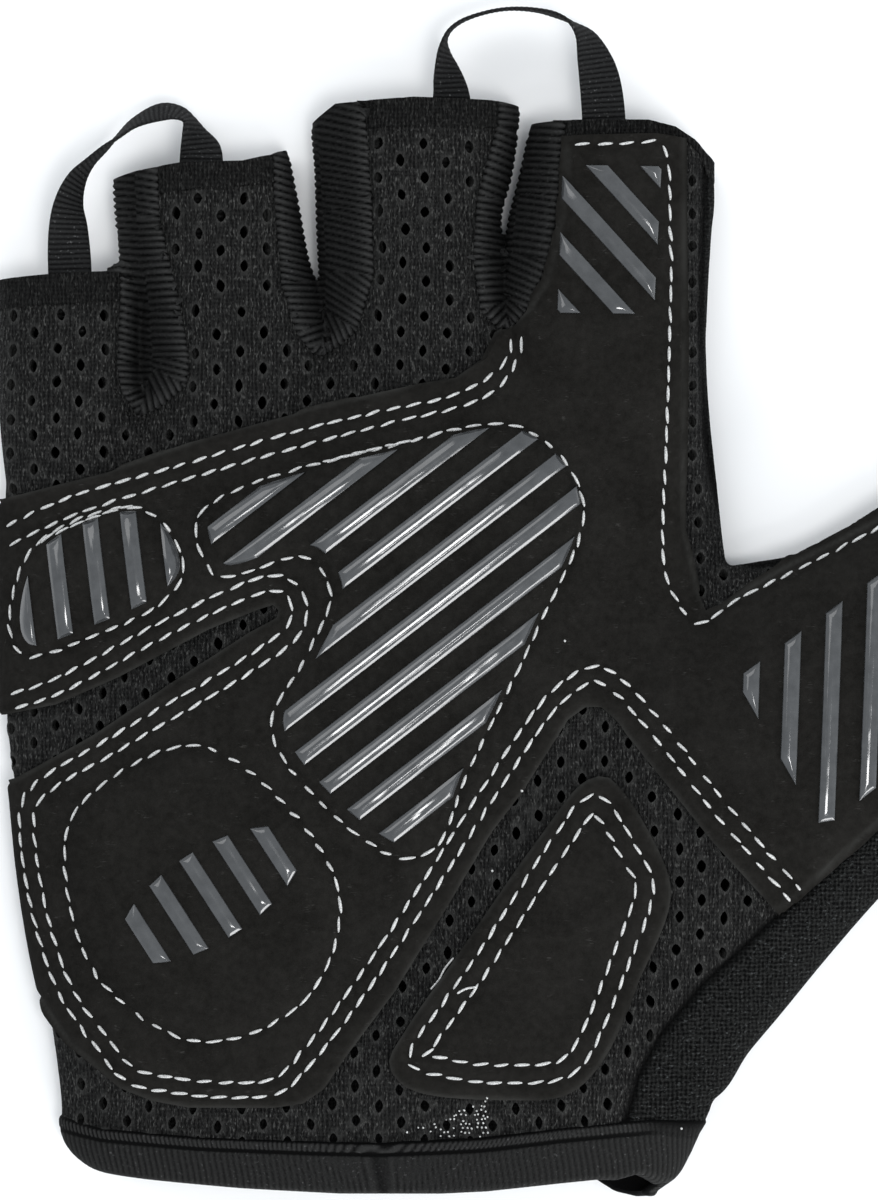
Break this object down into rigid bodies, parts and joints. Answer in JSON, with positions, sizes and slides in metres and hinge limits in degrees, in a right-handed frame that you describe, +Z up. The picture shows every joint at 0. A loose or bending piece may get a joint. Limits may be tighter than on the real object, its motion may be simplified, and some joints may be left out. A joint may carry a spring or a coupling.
{
  "type": "fingerless sport glove",
  "caption": "Fingerless cycling glove for the right hand, lying flat palm up: padded suede palm on perforated knit, raised gel stripes, ribbed finger strips, finger loops, ribbed cuff.",
  "frame": {"origin": "on the surface that the glove lies on, under the middle of its bounding box", "axes": "+X towards the thumb's side, +Y from the cuff to the fingers, +Z up out of the palm side"},
  "size_m": [0.1571, 0.1675, 0.0185],
  "materials": {
    "mesh_knit": "perforated fine-wale polyester mesh, charcoal",
    "stretch_knit": "bumpy stretch knit, charcoal",
    "rib_knit": "ribbed elastic knit, dark grey",
    "microsuede": "matt synthetic suede, brownish black, white stitching",
    "gel": "glossy domed silicone gel, grey",
    "webbing": "narrow woven webbing, dark grey"
  },
  "bodies": {
    "root": {"palm_mesh": "mesh_knit", "stretch_back": "stretch_knit", "fourchette_pinky_ring": "rib_knit", "fourchette_ring_middle": "rib_knit", "fourchette_middle_index": "rib_knit", "cuff_binding": "rib_knit", "palm_suede": "microsuede", "thenar_patch": "microsuede", "gel_stripe_palm_1": "gel", "gel_stripe_palm_2": "gel", "gel_stripe_palm_3": "gel", "gel_stripe_palm_4": "gel", "gel_stripe_palm_5": "gel", "gel_stripe_palm_6": "gel", "gel_stripe_palm_7": "gel", "gel_stripe_palm_8": "gel", "gel_stripe_palm_9": "gel", "gel_stripe_palm_10": "gel", "gel_stripe_pinky_1": "gel", "gel_stripe_pinky_2": "gel", "gel_stripe_pinky_3": "gel", "gel_stripe_pinky_4": "gel", "gel_stripe_pinky_5": "gel", "gel_stripe_index_1": "gel", "gel_stripe_index_2": "gel", "gel_stripe_index_3": "gel", "gel_stripe_index_4": "gel", "gel_stripe_index_5": "gel", "gel_stripe_thumb_1": "gel", "gel_stripe_thumb_2": "gel", "gel_stripe_thumb_3": "gel", "gel_stripe_thumb_4": "gel", "gel_stripe_thumb_5": "gel", "gel_stripe_thumb_6": "gel", "gel_stripe_thumb_7": "gel", "gel_stripe_heel_1": "gel", "gel_stripe_heel_2": "gel", "gel_stripe_heel_3": "gel", "gel_stripe_heel_4": "gel", "gel_stripe_heel_5": "gel", "pull_loop_pinky_ring": "webbing", "pull_loop_middle_index": "webbing"}
  },
  "joints": []
}
